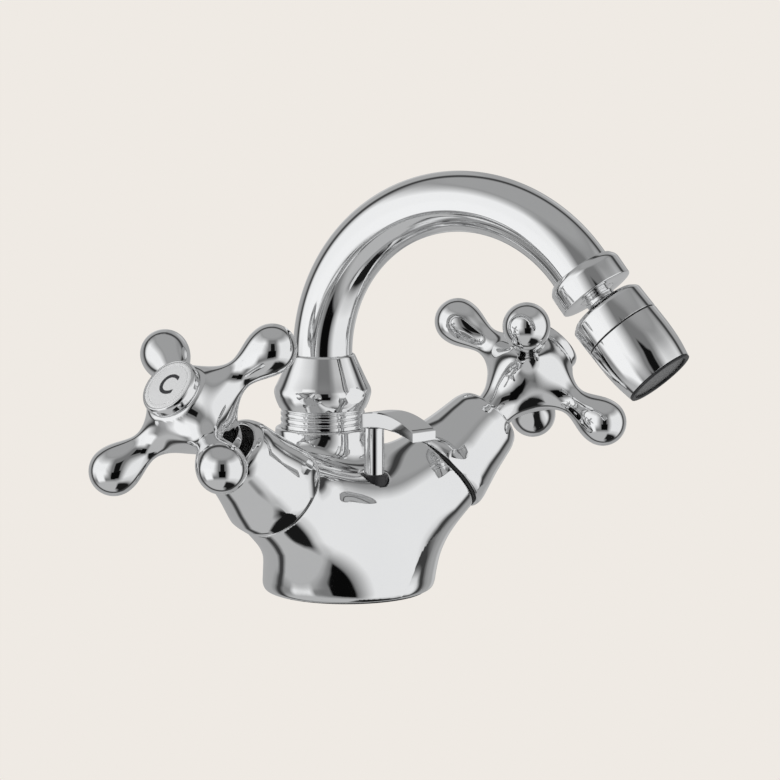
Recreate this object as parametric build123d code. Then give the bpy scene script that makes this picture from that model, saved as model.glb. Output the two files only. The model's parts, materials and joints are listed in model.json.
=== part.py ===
from build123d import *
import os
from math import cos, radians, sin, sqrt

# Two-handle bidet mixer tap. Millimetres, +Z up, front (spout side) towards -Y.
# The origin is the middle of the round base, on the deck that the tap stands on.

# Base
BASE_RADIUS = 25.0
BASE_EDGE = 1.2
CAVITY_RADIUS = 20.5
CAVITY_ROOF = 8.0
GASKET_STEP = 0.4

# Arms: both arm axes start at one point, tilt outwards and lean a little forwards.
ARM_TILT = 49.5
ARM_LEAN = 5.4
ARM_ORIGIN = (0.0, -1.8, 6.4)
ARM_END = 41.0
ARM_RADIUS = 14.2
ARM_ROOT_RADIUS = 17.0
HANDLE_DISTANCE = 86.0

# Cross handles
HANDLE_TURN = {"left": 58.2, "right": 35.4}
LOBE_REACH = 29.1
LOBE_RADIUS = 6.9
LOBE_NECK = 4.7
LOBE_CURVE = 22.0
HUB_RADIUS = 11.3
HANDLE_NECK = 6.1
CAP_RADIUS = 9.0
CAP_FACE = 12.8

# Covers over the valves
COVER_RIM = 15.5
COVER_TOP = 66.5
COVER_BORE = 8.1
FLAT_RATIO = 0.95

# Tower and spout
TOWER_Y = 11.8
TOWER_TOP = 48.5
TOWER_RADIUS = 14.5
NUT_BOTTOM = 54.4
NUT_WIDEST = 59.6
NUT_TOP = 70.8
NUT_RADIUS = 15.0
TUBE_RADIUS = 9.0
TUBE_WALL = 1.2
ARCH_RADIUS = 48.2
ARCH_SWEEP = 141.5
ARCH_TAIL = 9.0
SPOUT_SWIVEL = 21.7

# Outlet
COLLAR_RADIUS = 11.4
COLLAR_LENGTH = 8.4
COLLAR_WEB = 3.0
BALL_RADIUS = 7.5
BALL_DROP = 10.0
STEM_RADIUS = 4.55
NOZZLE_LIFT = 4.0
NOZZLE_TOP = -6.0
NOZZLE_SEAM = 3.0
NOZZLE_END = 21.0
NOZZLE_RADIUS = 11.8
OUTLET_RADIUS = 10.5
BALL_CLEARANCE = 0.1

# Waste lift rod
ROD_Y = -12.7
ROD_RADIUS = 3.0
ROD_BORE = 4.2
SADDLE_Z = 39.5
TAB_WIDTH = 8.8
TAB_FRONT = -35.8

# Connections under the base
INLET_X = 10.5
INLET_Y = 4.5
INLET_RADIUS = 4.5
INLET_DEPTH = 6.0
STUD_Y = -1.0
STUD_RADIUS = 3.4
STUD_DEPTH = 12.0

RUNNING = 0.05


def turned(points):
    """A solid of revolution about Z; each point is (radius, height)."""
    outline = Polyline(*[(radius, 0, height) for radius, height in points], close=True)
    return revolve(make_face(outline), axis=Axis.Z)


def ring(inner, outer, low, high):
    """A plain ring about Z."""
    return turned([(inner, low), (outer, low), (outer, high), (inner, high)])


def drill(start, end, radius):
    """A cylinder from one point to another, for cutting a passage."""
    way = Vector(*end) - Vector(*start)
    return extrude(Plane(origin=start, z_dir=way) * Circle(radius), amount=way.length)


def slab(low, high):
    """Everything near the Z axis between two heights."""
    return Pos(0, 0, (low + high) / 2) * Box(60, 60, high - low)


def sphere_zone(inner, outer, low, high):
    """A slice of a spherical shell about the origin."""
    return (Sphere(outer) - Sphere(inner)) & slab(low, high)


def seal(radius, thickness, height):
    """An O-ring about Z."""
    return Pos(0, 0, height) * Torus(radius, thickness)


def arm_plane(side):
    """Frame at the arms' common origin, Z out along the arm on side -1 or +1."""
    tilt = radians(ARM_TILT)
    lean = radians(ARM_LEAN)
    outwards = Vector(side * sin(tilt) * cos(lean), -sin(lean), cos(tilt) * cos(lean))
    across = Vector(cos(tilt), 0, -side * sin(tilt))
    return Plane(origin=ARM_ORIGIN, x_dir=across, z_dir=outwards)


def arm_location(name):
    return arm_plane(-1 if name == "left" else 1).location


SPOUT_FRAME = Location((0, TOWER_Y, 0), (0, 0, SPOUT_SWIVEL - 90))


def outflow(sweep, distance):
    """Frame on the spout's centreline, Z along the flow, past the end of the bend."""
    end = radians(ARCH_SWEEP)
    way = radians(sweep)
    along = Vector(sin(way), 0, cos(way))
    bend = Vector(ARCH_RADIUS * (1 - cos(end)), 0, NUT_TOP + ARCH_RADIUS * sin(end))
    tail = Vector(sin(end), 0, cos(end)) * distance
    return SPOUT_FRAME * Plane(origin=bend + tail, x_dir=(0, 1, 0), z_dir=along).location


COLLAR_FRAME = outflow(ARCH_SWEEP, ARCH_TAIL)
STEM_FRAME = outflow(ARCH_SWEEP, ARCH_TAIL + BALL_DROP)
NOZZLE_FRAME = outflow(ARCH_SWEEP - NOZZLE_LIFT, ARCH_TAIL + BALL_DROP)


def trunk():
    """The middle of the casting, from the round base up to the saddle between the arms."""
    sections = [
        Pos(0, 0, 7.0) * Circle(BASE_RADIUS - 0.3),
        Pos(0, -1.2, 24.0) * Ellipse(23.5, 20.3),
        Pos(0, -2.5, SADDLE_Z + 0.5) * Ellipse(22.5, 16.4),
    ]
    body = loft(sections)
    return fillet(body.edges().group_by(Axis.Z)[-1], radius=3.0)


def base():
    edge = BASE_EDGE
    profile = [
        (0, GASKET_STEP),
        (BASE_RADIUS - edge, GASKET_STEP),
        (BASE_RADIUS, GASKET_STEP + edge),
        (BASE_RADIUS - 0.1, 6.0),
        (BASE_RADIUS - 0.8, 9.0),
        (0, 9.0),
    ]
    return turned(profile)


def tower():
    profile = [
        (0, 4.0),
        (TOWER_RADIUS - 2.0, 4.0),
        (TOWER_RADIUS + 0.3, SADDLE_Z),
        (TOWER_RADIUS, TOWER_TOP),
        (0, TOWER_TOP),
    ]
    return Pos(0, TOWER_Y, 0) * turned(profile)


def arm(name):
    profile = [
        (0, 4.0),
        (ARM_ROOT_RADIUS, 4.0),
        (ARM_ROOT_RADIUS - 0.5, 18.0),
        (ARM_RADIUS + 0.9, 30.0),
        (ARM_RADIUS, ARM_END),
        (0, ARM_END),
    ]
    return arm_location(name) * turned(profile)


def arm_bores(name):
    """Valve chamber, threaded socket and water ways of one arm."""
    side = -1 if name == "left" else 1
    place = arm_location(name)
    socket = turned([(0, 14.0), (3.0, 14.0), (3.0, 19.0), (9.4, 19.0), (9.4, 28.0),
                     (10.4, 28.0), (10.4, ARM_END + 1), (0, ARM_END + 1)])
    inlet = ring(0, INLET_RADIUS, CAVITY_ROOF - 1, CAVITY_ROOF + INLET_DEPTH)
    riser = ring(0, 3.2, CAVITY_ROOF, 20.0)
    column = Pos(side * INLET_X, INLET_Y, 0) * (inlet + riser)
    cross = drill((side * INLET_X, INLET_Y, 17.6), (side * 12.4, -3.3, 17.0), 2.4)
    outlet = drill((side * 17.5, -3.4, 22.5), (0, TOWER_Y, 33.0), 3.0)
    return [place * socket, column, cross, outlet]


def mixer_body():
    """The chromed brass casting."""
    body = base() + trunk() + tower() + arm("left") + arm("right")
    body = body & (Pos(0, 0, 100 + GASKET_STEP) * Box(200, 200, 200))
    cuts = [
        ring(0, CAVITY_RADIUS, -1, CAVITY_ROOF),
        Pos(0, STUD_Y, 0) * ring(0, STUD_RADIUS, 0, CAVITY_ROOF + STUD_DEPTH),
        Pos(0, ROD_Y, 0) * ring(0, ROD_BORE, 0, 60),
        Pos(0, TOWER_Y, 0) * turned([(0, 28), (8, 28), (8, 40), (12.45, 40), (12.45, 60), (0, 60)]),
    ]
    cuts += arm_bores("left") + arm_bores("right")
    return body - cuts


def base_gasket():
    """Rubber ring that the tap stands on; its lower face is the deck plane."""
    return ring(CAVITY_RADIUS + 0.3, BASE_RADIUS - BASE_EDGE, 0, GASKET_STEP)


def spout_nipple():
    """Threaded, grooved ring between the tower and the spout nut."""
    return Pos(0, TOWER_Y, 0) * turned([
        (8.65, 40.1), (12.4, 40.1), (12.4, TOWER_TOP), (12.9, TOWER_TOP), (12.9, 49.7),
        (12.5, 49.9), (12.5, 50.3), (12.9, 50.5), (12.9, 51.5), (12.5, 51.7), (12.5, 52.1),
        (12.9, 52.3), (12.9, NUT_BOTTOM - 0.4), (12.6, NUT_BOTTOM), (12.0, NUT_BOTTOM),
        (12.0, 60.0), (8.65, 60.0)])


def with_flats(shape, radius):
    """Six spanner flats, cut just inside the widest radius, leave lens-shaped facets."""
    across = RegularPolygon(radius * FLAT_RATIO, 6, major_radius=False)
    return shape & extrude(across, amount=100)


def spout_nut():
    """Conical nut that holds the spout, with spanner flats on its widest part."""
    nut = turned([
        (12.05, NUT_BOTTOM), (13.4, NUT_BOTTOM), (NUT_RADIUS - 0.5, NUT_WIDEST - 1.8),
        (NUT_RADIUS, NUT_WIDEST - 0.4), (NUT_RADIUS - 0.2, NUT_WIDEST + 0.6),
        (9.9, NUT_TOP - 0.5), (9.6, NUT_TOP), (9.15, NUT_TOP), (9.15, 64.0), (12.05, 64.0)])
    return Pos(0, TOWER_Y, 0) * with_flats(nut, NUT_RADIUS)


def glide_ring():
    """Acetal ring that the spout's flange turns against."""
    return Pos(0, TOWER_Y, 0) * ring(9.2, 11.9, 62.1, 64.0)


def rod_guide():
    """Plastic bush that guides the lift rod."""
    return Pos(0, ROD_Y, 0) * ring(ROD_RADIUS + RUNNING, ROD_BORE - 0.05, 14.0, SADDLE_Z + 0.8)


def bonnet():
    """Conical cover over a valve, with spanner flats by its rim."""
    rim = ARM_END + 0.8
    cover = turned([
        (13.2, rim), (15.0, rim), (COVER_RIM, rim + 1.4), (COVER_RIM - 0.2, rim + 3.6),
        (12.2, 60.0), (11.3, 63.4), (10.6, 65.2), (9.6, COVER_TOP - 0.2), (9.0, COVER_TOP),
        (COVER_BORE + 0.2, COVER_TOP), (COVER_BORE, COVER_TOP - 0.4), (COVER_BORE, 57.0),
        (13.2, 49.0)])
    return with_flats(cover, COVER_RIM)


def cover_seal():
    """Black ring in the joint between the cover and the body."""
    return ring(13.55, ARM_RADIUS - 0.1, ARM_END, ARM_END + 0.8)


def headwork_body():
    """Brass valve sleeve screwed into the arm."""
    return turned([
        (8.3, 20.0), (9.3, 20.0), (9.3, 28.05), (10.3, 28.05), (10.3, ARM_END),
        (13.1, ARM_END), (13.1, ARM_END + 3.0), (8.0, ARM_END + 3.0), (8.0, 61.0),
        (4.05, 61.0), (4.05, 28.6), (8.3, 28.6)])


def spindle():
    """Turning stem with two seal grooves, a driving foot and a circlip groove."""
    return turned([
        (0, 26.75), (7.6, 26.75), (7.6, 28.4), (4.0, 28.4), (4.0, 35.0), (3.0, 35.0),
        (3.0, 37.2), (4.0, 37.2), (4.0, 43.0), (3.0, 43.0), (3.0, 45.2), (4.0, 45.2),
        (4.0, 61.2), (3.5, 61.2), (3.5, 62.0), (3.9, 62.0), (3.9, 80.0), (2.45, 80.0),
        (2.45, 72.0), (0, 72.0)])


def spindle_seals():
    return seal(3.5, 0.5, 36.1) + seal(3.5, 0.5, 44.1)


def circlip():
    """Open clip that keeps the spindle in its sleeve."""
    return ring(3.5, 5.4, 61.2, 61.95) - Pos(4, 0, 61.5) * Box(4, 3, 2)


def seat_seal():
    """Rubber seat under the fixed disc."""
    return ring(3.4, 8.2, 19.1, 21.0)


def fixed_disc():
    disc = ring(0, 8.2, 21.0, 24.0)
    return disc - [Pos(x, 0, 22) * Cylinder(2.3, 8) for x in (-4.4, 4.4)]


def moving_disc():
    disc = ring(0, 8.1, 24.05, 26.75)
    return disc - [Pos(x, 0, 25) * Cylinder(2.3, 8) for x in (-4.4, 4.4)]


def lobe_profile():
    """Teardrop outline: a thin neck, a hollow curve and a round end."""
    rise = LOBE_NECK + LOBE_CURVE
    span = LOBE_CURVE + LOBE_RADIUS
    start = LOBE_REACH - sqrt(span ** 2 - rise ** 2)
    back = (start - LOBE_REACH) * LOBE_RADIUS / span
    meet = (LOBE_REACH + back, rise * LOBE_RADIUS / span)
    middle = radians(8.0)
    dip = (start + LOBE_CURVE * sin(middle), rise - LOBE_CURVE * cos(middle))
    shoulder = (LOBE_REACH + LOBE_RADIUS * 0.6, LOBE_RADIUS * 0.8)
    tip = (LOBE_REACH + LOBE_RADIUS, 0)
    return [
        Line((4, 0), (4, LOBE_NECK)),
        Line((4, LOBE_NECK), (start, LOBE_NECK)),
        ThreePointArc((start, LOBE_NECK), dip, meet),
        ThreePointArc(meet, shoulder, tip),
        Line(tip, (4, 0)),
    ]


def cross_handle(name):
    """Hub with four teardrop arms, bored for the spindle and its screw."""
    low = HANDLE_DISTANCE
    hub = turned([
        (0, low - 22.0), (HANDLE_NECK - 0.4, low - 22.0), (HANDLE_NECK, low - 18.0),
        (HANDLE_NECK + 0.5, low - 14.5), (8.4, low - 11.0), (10.0, low - 7.0),
        (HUB_RADIUS, low - 3.0), (HUB_RADIUS, low + 3.0), (10.0, low + 7.0),
        (9.2, low + 9.4), (0, low + 9.4)])
    outline = make_face(lobe_profile())
    lobe = revolve(outline, axis=Axis.X)
    handle = hub
    for quarter in range(4):
        turn = HANDLE_TURN[name] + 90 * quarter
        handle += Pos(0, 0, low) * Rot(0, 0, turn) * lobe
    bore = turned([
        (0, low - 23), (3.95, low - 23), (3.95, low - 5.5), (2.6, low - 5.5), (2.6, low + 3),
        (5.2, low + 3), (5.2, low + 10), (0, low + 10)])
    return handle - bore


def cap_ring():
    """Bevelled cap that snaps into the hub and holds the index disc."""
    low = HANDLE_DISTANCE
    top = low + CAP_FACE
    return turned([
        (0, low + 8.4), (5.15, low + 8.4), (5.15, low + 9.4), (8.6, low + 9.4),
        (CAP_RADIUS, low + 10.2), (CAP_RADIUS, top - 0.8), (CAP_RADIUS - 0.5, top),
        (8.1, top), (8.1, top - 0.6), (0, top - 0.6)])


def index_disc():
    """White disc in the cap."""
    top = HANDLE_DISTANCE + CAP_FACE
    return turned([(0, top - 0.6), (8.05, top - 0.6), (8.05, top - 0.2), (7.6, top - 0.05),
                   (0, top - 0.05)])


def handle_screw():
    """Pan-head screw that holds the handle on the spindle."""
    low = HANDLE_DISTANCE
    screw = turned([(0, 73.0), (2.4, 73.0), (2.4, low + 3), (4.6, low + 3), (4.6, low + 5.2),
                    (3.9, low + 5.8), (0, low + 5.8)])
    slot = Pos(0, 0, low + 5.4) * (Box(5, 1, 1.4) + Box(1, 5, 1.4))
    return screw - slot


def spout_path():
    """Centreline of the tube: a short riser, the round bend and a straight tail."""
    end = radians(ARCH_SWEEP)
    foot = (0, 0, 62.0)
    springing = (0, 0, NUT_TOP)
    crown = (ARCH_RADIUS, 0, NUT_TOP + ARCH_RADIUS)
    bend = (ARCH_RADIUS * (1 - cos(end)), 0, NUT_TOP + ARCH_RADIUS * sin(end))
    reach = ARCH_TAIL - COLLAR_WEB
    outlet = (bend[0] + reach * sin(end), 0, bend[2] + reach * cos(end))
    return Line(foot, springing) + ThreePointArc(springing, crown, bend) + Line(bend, outlet)


def spout_tube():
    section = Circle(TUBE_RADIUS) - Circle(TUBE_RADIUS - TUBE_WALL)
    return SPOUT_FRAME * sweep(Pos(0, 0, 62.0) * section, path=spout_path())


def spout_spigot():
    """Turned foot of the spout, with seal grooves and the flange that holds it down."""
    return SPOUT_FRAME * turned([
        (5.2, 42.0), (8.6, 42.0), (8.6, 44.9), (6.5, 44.9), (6.5, 47.1), (8.6, 47.1),
        (8.6, 50.9), (6.5, 50.9), (6.5, 53.1), (8.6, 53.1), (8.6, 60.1), (11.0, 60.1),
        (11.0, 62.0), (7.75, 62.0), (7.75, 68.0), (5.2, 68.0)])


def spout_seals():
    return SPOUT_FRAME * (seal(7.55, 1.0, 46.0) + seal(7.55, 1.0, 52.0))


def outlet_collar():
    """Round-shouldered socket brazed to the end of the tube."""
    wall = TUBE_RADIUS + 0.02
    profile = [
        (wall, -COLLAR_LENGTH), (9.8, -COLLAR_LENGTH + 0.1), (10.5, -7.8), (10.95, -7.2),
        (COLLAR_RADIUS, -6.2), (COLLAR_RADIUS, -0.3), (COLLAR_RADIUS - 0.3, 0), (5.55, 0),
        (5.55, -COLLAR_WEB), (wall, -COLLAR_WEB)]
    return COLLAR_FRAME * turned(profile)


def ball_stem():
    """Hollow stem that ends in the ball of the nozzle's joint."""
    drop = BALL_DROP
    neck = 4.1
    stem = turned([
        (0, -drop - 7), (5.5, -drop - 7), (5.5, -drop), (3.9, -drop), (3.9, -drop + 0.8),
        (STEM_RADIUS, -drop + 0.9), (STEM_RADIUS, -drop + 2.4), (neck, -drop + 2.7),
        (neck, 0), (0, 0)])
    return STEM_FRAME * (stem + Sphere(BALL_RADIUS) - Cylinder(2.25, 60))


def stem_washer():
    return COLLAR_FRAME * ring(5.55, TUBE_RADIUS - TUBE_WALL - 0.1, -4.5, -COLLAR_WEB)


def ball_race(low, high):
    """A plastic race around the ball, free to slide between ball and housing."""
    inner = BALL_RADIUS + BALL_CLEARANCE
    return NOZZLE_FRAME * sphere_zone(inner, inner + 1.4, low, high)


RACE_RADIUS = BALL_RADIUS + 2 * BALL_CLEARANCE + 1.4


def nozzle_ring():
    """Upper housing of the nozzle, with the lip that holds the ball."""
    housing = turned([
        (7.2, NOZZLE_TOP), (9.8, NOZZLE_TOP), (NOZZLE_RADIUS, NOZZLE_TOP + 1.6),
        (NOZZLE_RADIUS, NOZZLE_SEAM), (10.5, NOZZLE_SEAM), (10.5, 8.0), (9.9, 8.0), (9.9, 1.0),
        (4.0, 1.0), (4.0, -4.4), (6.4, -4.4)])
    pocket = Sphere(RACE_RADIUS) & slab(-4.4, 1.0)
    return NOZZLE_FRAME * (housing - pocket)


def ball_retainer():
    """Screwed ring that closes the ball's pocket from below."""
    block = ring(7.0, 9.85, 1.0, 6.5)
    return NOZZLE_FRAME * (block - Sphere(RACE_RADIUS))


def nozzle_shell():
    """Tapered outer shell below the seam."""
    seam = NOZZLE_SEAM + 0.3
    return NOZZLE_FRAME * turned([
        (10.55, seam), (NOZZLE_RADIUS, seam), (NOZZLE_RADIUS, 10.0), (11.5, 14.5),
        (10.95, 18.5), (OUTLET_RADIUS, NOZZLE_END - 0.7), (9.55, NOZZLE_END - 0.7),
        (9.55, 8.3), (10.55, 8.3)])


def aerator_gasket():
    return NOZZLE_FRAME * ring(7.2, 9.5, 8.35, 9.0)


def aerator_body():
    """Plastic cup with jet holes round its floor."""
    cup = turned([(0, 9.0), (9.5, 9.0), (9.5, 19.9), (8.3, 19.9), (8.3, 11.0), (0, 11.0)])
    holes = [Rot(0, 0, 30 * k) * Pos(5.8, 0, 10) * Cylinder(0.7, 6) for k in range(12)]
    return NOZZLE_FRAME * (cup - holes)


def aerator_screen():
    return NOZZLE_FRAME * ring(0, 8.8, NOZZLE_END - 1.1, NOZZLE_END - 0.7)


def outlet_ring():
    """Black ring round the screen."""
    return NOZZLE_FRAME * turned([
        (8.85, NOZZLE_END - 0.7), (OUTLET_RADIUS, NOZZLE_END - 0.7),
        (OUTLET_RADIUS - 0.2, NOZZLE_END), (9.05, NOZZLE_END)])


def lift_rod():
    return Pos(0, ROD_Y, 0) * ring(0, ROD_RADIUS, 1.0, 54.0)


def lift_tab():
    """Arched finger tab on top of the rod, round at the rod and square at its front end."""
    half = TAB_WIDTH / 2
    rear = ROD_Y + half
    top = ThreePointArc((rear, 54.7), (-21.0, 56.6), (TAB_FRONT, 52.6))
    bottom = ThreePointArc((TAB_FRONT, 49.3), (-21.0, 51.9), (rear, 50.1))
    outline = [
        top,
        Line((TAB_FRONT, 52.6), (TAB_FRONT, 49.3)),
        bottom,
        Line((rear, 50.1), (rear, 54.7)),
    ]
    blade = extrude(Plane.YZ * make_face(outline), amount=half, both=True)
    straight = Pos(0, (TAB_FRONT + ROD_Y) / 2, 50) * Box(TAB_WIDTH, ROD_Y - TAB_FRONT, 40)
    plan = straight + Pos(0, ROD_Y, 0) * ring(0, half, 30, 70)
    return (blade & plan) - Pos(0, ROD_Y, 0) * ring(0, ROD_RADIUS, 40, 54.0)


ARM_PIECES = {
    "bonnet": bonnet,
    "cover_seal": cover_seal,
    "headwork_body": headwork_body,
    "seat_seal": seat_seal,
    "fixed_disc": fixed_disc,
    "moving_disc": moving_disc,
    "spindle": spindle,
    "spindle_seals": spindle_seals,
    "circlip": circlip,
    "cap_ring": cap_ring,
    "index_disc": index_disc,
    "handle_screw": handle_screw,
}

NODES = {
    "mixer_body": mixer_body(),
    "base_gasket": base_gasket(),
    "spout_nipple": spout_nipple(),
    "spout_nut": spout_nut(),
    "glide_ring": glide_ring(),
    "rod_guide": rod_guide(),
    "spout_tube": spout_tube(),
    "spout_spigot": spout_spigot(),
    "spout_seals": spout_seals(),
    "outlet_collar": outlet_collar(),
    "ball_stem": ball_stem(),
    "stem_washer": stem_washer(),
    "upper_ball_race": ball_race(-2.2, -0.4),
    "lower_ball_race": ball_race(1.7, 4.2),
    "nozzle_ring": nozzle_ring(),
    "ball_retainer": ball_retainer(),
    "nozzle_shell": nozzle_shell(),
    "aerator_gasket": aerator_gasket(),
    "aerator_body": aerator_body(),
    "aerator_screen": aerator_screen(),
    "outlet_ring": outlet_ring(),
    "lift_rod": lift_rod(),
    "lift_tab": lift_tab(),
}

for name in ("left", "right"):
    place = arm_location(name)
    NODES[name + "_cross_handle"] = place * cross_handle(name)
    for piece, make in ARM_PIECES.items():
        NODES[name + "_" + piece] = place * make()

os.makedirs("parts", exist_ok=True)
for name, shape in NODES.items():
    export_step(shape, "parts/" + name + ".step")
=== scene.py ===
import json
from math import atan2, cos, pi, radians, sin

import bmesh
import bpy
import numpy as np
from mathutils import Matrix, Vector


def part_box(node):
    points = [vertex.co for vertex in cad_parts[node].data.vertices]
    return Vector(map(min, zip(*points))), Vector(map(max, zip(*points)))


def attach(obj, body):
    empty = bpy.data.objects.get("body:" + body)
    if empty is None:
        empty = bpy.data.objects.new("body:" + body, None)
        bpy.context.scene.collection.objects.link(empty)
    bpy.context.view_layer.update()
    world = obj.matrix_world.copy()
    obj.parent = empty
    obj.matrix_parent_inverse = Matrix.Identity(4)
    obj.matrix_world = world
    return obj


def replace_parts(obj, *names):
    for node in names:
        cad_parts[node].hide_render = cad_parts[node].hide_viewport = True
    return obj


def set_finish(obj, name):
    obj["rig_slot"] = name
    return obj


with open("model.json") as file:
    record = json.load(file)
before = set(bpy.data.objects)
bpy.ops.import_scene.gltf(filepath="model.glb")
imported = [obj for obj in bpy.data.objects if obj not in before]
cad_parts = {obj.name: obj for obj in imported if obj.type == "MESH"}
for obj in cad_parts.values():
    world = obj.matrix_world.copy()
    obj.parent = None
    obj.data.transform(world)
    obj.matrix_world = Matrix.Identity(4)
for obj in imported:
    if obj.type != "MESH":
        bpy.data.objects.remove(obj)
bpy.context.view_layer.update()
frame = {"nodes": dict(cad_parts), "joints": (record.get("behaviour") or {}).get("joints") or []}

# Outlines below are in millimetres about their own axis; MM turns them into metres.
MM = 0.001
SIDES = ("left", "right")
JOINTS = {joint["name"]: joint for joint in frame["joints"]}

# Body casting
BASE_UNDERSIDE = 0.4
CAVITY_RADIUS = 20.5
CAVITY_ROOF = 8.0
TOWER_TOP = 48.5
SADDLE_Z = 36.6
ARM_END = 41.0
ROD_BORE = 4.2

# Cross handles
HANDLE_DISTANCE = 86.0
HANDLE_TURN = {"left": 58.2, "right": 35.4}
LOBE_REACH = 29.0
LOBE_RADIUS = 6.4
LOBE_NECK = 5.6
HUB_RADIUS = 11.3
HUB_FACE = 9.4
CAP_FACE = 12.8
CAP_RADIUS = 9.0
LETTERS = {"left": "C", "right": "F"}
LETTER_SIZE = 9.2

# Valve covers and nut
COVER_RIM = 15.5
COVER_TOP = 66.5
COVER_BORE = 8.1
NUT_BOTTOM = 54.4
NUT_WIDEST = 59.6
NUT_TOP = 70.8
NUT_RADIUS = 15.0
FLAT_RATIO = 0.95
COVER_FLATS = {"left": 20.0, "right": 37.0}
NUT_FLATS = 13.0

# Spout
TUBE_RADIUS = 9.0
ARCH_RADIUS = 48.2
ARCH_SWEEP = 141.5
ARCH_TAIL = 9.0
COLLAR_RADIUS = 11.4
BALL_RADIUS = 7.5
BALL_DROP = 10.0
NOZZLE_RADIUS = 11.8
NOZZLE_TOP = -6.0
NOZZLE_SEAM = 3.0
SEAM_GAP = 0.42
NOZZLE_END = 21.0
OUTLET_RADIUS = 10.5

# Lift tab: an arch in Y whose highest point is the crest
TAB_HALF_WIDTH = 4.4
TAB_FRONT = -35.8
TAB_CREST_Y = -21.0
TAB_CREST_TOP = 56.6
TAB_CREST_BOTTOM = 51.9
TAB_BEND = 0.0118
TAB_FRONT_BEND = 0.0183
TAB_BEVEL = 0.35

# Connections under the base
INLET_X = 10.5
INLET_Y = 4.5
INLET_RADIUS = 4.5
INLET_TOP = 14.0
STUD_Y = -1.0
STUD_RADIUS = 3.4
STUD_TOP = 20.0

# Camera: what it looks at, where it stands, and its lens in millimetres
CAMERA_AT = Vector((0.0153, -0.0018, 0.0597))
CAMERA_FROM = Vector((-0.6375, -0.7850, 0.2032))
LENS = 156.46

# Studio, in linear values. FRONT points level to the camera, and EYE_LEVEL is how far along
# FRONT and up its direction goes. Angles are degrees, with azimuth + to the camera's right.
BACKDROP = (0.863, 0.823, 0.776)
FRONT = Vector((-0.6402, -0.7682, 0.0))
EYE_LEVEL = Vector((0.990, 0.139))
TENT_LEVEL = 0.26
# Each panel: brightness, azimuth range, height range, width of its soft edge
PANELS = (
    (0.38, (-200, 200), (50, 120), 20.0),
    (0.50, (-200, 200), (-120, -38), 12.0),
    (0.01, (26, 145), (-82, -48), 12.0),
    (0.42, (-200, -128), (-60, 56), 12.0),
    (0.38, (128, 200), (-60, 56), 12.0),
    (0.60, (-178, -158), (-6, 20), 8.0),
    (0.55, (148, 166), (12, 30), 8.0),
    (0.55, (148, 168), (-22, -8), 8.0),
    (0.20, (-42, 36), (-34, 46), 8.0),
    (0.97, (-112, -24), (-16, 42), 24.0),
    (1.00, (-84, -42), (-38, 4), 10.0),
    (0.88, (32, 110), (-42, 38), 22.0),
    (0.003, (-11, 20), (-30, -2), 3.0),
    (0.006, (-4, 15), (-4, 30), 3.0),
)
# Dark ring of the tent: brightness, where it starts and stops off the camera's direction, edge
RIM = (0.05, 109, 121, 7.0)
# Extra light for matt surfaces, as a share of the tent's own
MATT_BOOST = 0.45


# ---------------------------------------------------------------- places

def place(origin, z_axis, x_axis):
    """Matrix that takes an outline's own millimetres to metres in the object's frame."""
    z_axis = Vector(z_axis).normalized()
    x_axis = Vector(x_axis)
    x_axis = (x_axis - z_axis * x_axis.dot(z_axis)).normalized()
    turn = Matrix((x_axis, z_axis.cross(x_axis), z_axis)).transposed().to_4x4()
    return Matrix.Translation(origin) @ turn @ Matrix.Scale(MM, 4)


def arm_place(side):
    """Arm frame: Z outwards along the arm, X in the plane of the arm's tilt."""
    joint = JOINTS[side + "_handle_turn"]
    axis = Vector(joint["axis"])
    return place(joint["pos_m"], axis, Vector((0, 1, 0)).cross(axis))


UP = Vector((0, 0, 1))
TOWER = Vector(JOINTS["spout_swivel"]["pos_m"])
SPOUT_SIDE = Vector(JOINTS["nozzle_nod"]["axis"])
SPOUT_AHEAD = SPOUT_SIDE.cross(UP)
BALL = Vector(JOINTS["nozzle_spin"]["pos_m"])
NOZZLE_AXIS = Vector(JOINTS["nozzle_spin"]["axis"])
TOWER_PLACE = place((TOWER.x, TOWER.y, 0), UP, SPOUT_AHEAD)
TUBE_END_AXIS = SPOUT_AHEAD * sin(radians(ARCH_SWEEP)) + UP * cos(radians(ARCH_SWEEP))
STEM_PLACE = place(BALL, TUBE_END_AXIS, SPOUT_SIDE)
COLLAR_PLACE = place(BALL - TUBE_END_AXIS * BALL_DROP * MM, TUBE_END_AXIS, SPOUT_SIDE)
NOZZLE_PLACE = place(BALL, NOZZLE_AXIS, SPOUT_SIDE)
ROD_CENTRE = (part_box("lift_rod")[0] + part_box("lift_rod")[1]) / 2
ROD_PLACE = place((ROD_CENTRE.x, ROD_CENTRE.y, 0), UP, (1, 0, 0))


# ---------------------------------------------------------------- mesh helpers

def mesh_object(name, vertices, faces, matrix=None):
    """A smooth-shaded object; vertices are in millimetres of the given place."""
    mesh = bpy.data.meshes.new(name)
    mesh.from_pydata([tuple(v) for v in vertices], [], faces)
    mesh.transform(matrix if matrix is not None else Matrix.Scale(MM, 4))
    mesh.validate()
    piece = bpy.data.objects.new(name, mesh)
    bpy.context.collection.objects.link(piece)
    tidy_normals(mesh)
    return piece


def tidy_normals(mesh, angle=32.0):
    """Outward normals, smooth except across real edges."""
    work = bmesh.new()
    work.from_mesh(mesh)
    bmesh.ops.recalc_face_normals(work, faces=work.faces)
    work.to_mesh(mesh)
    work.free()
    mesh.shade_smooth()
    mesh.set_sharp_from_angle(angle=radians(angle))


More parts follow.
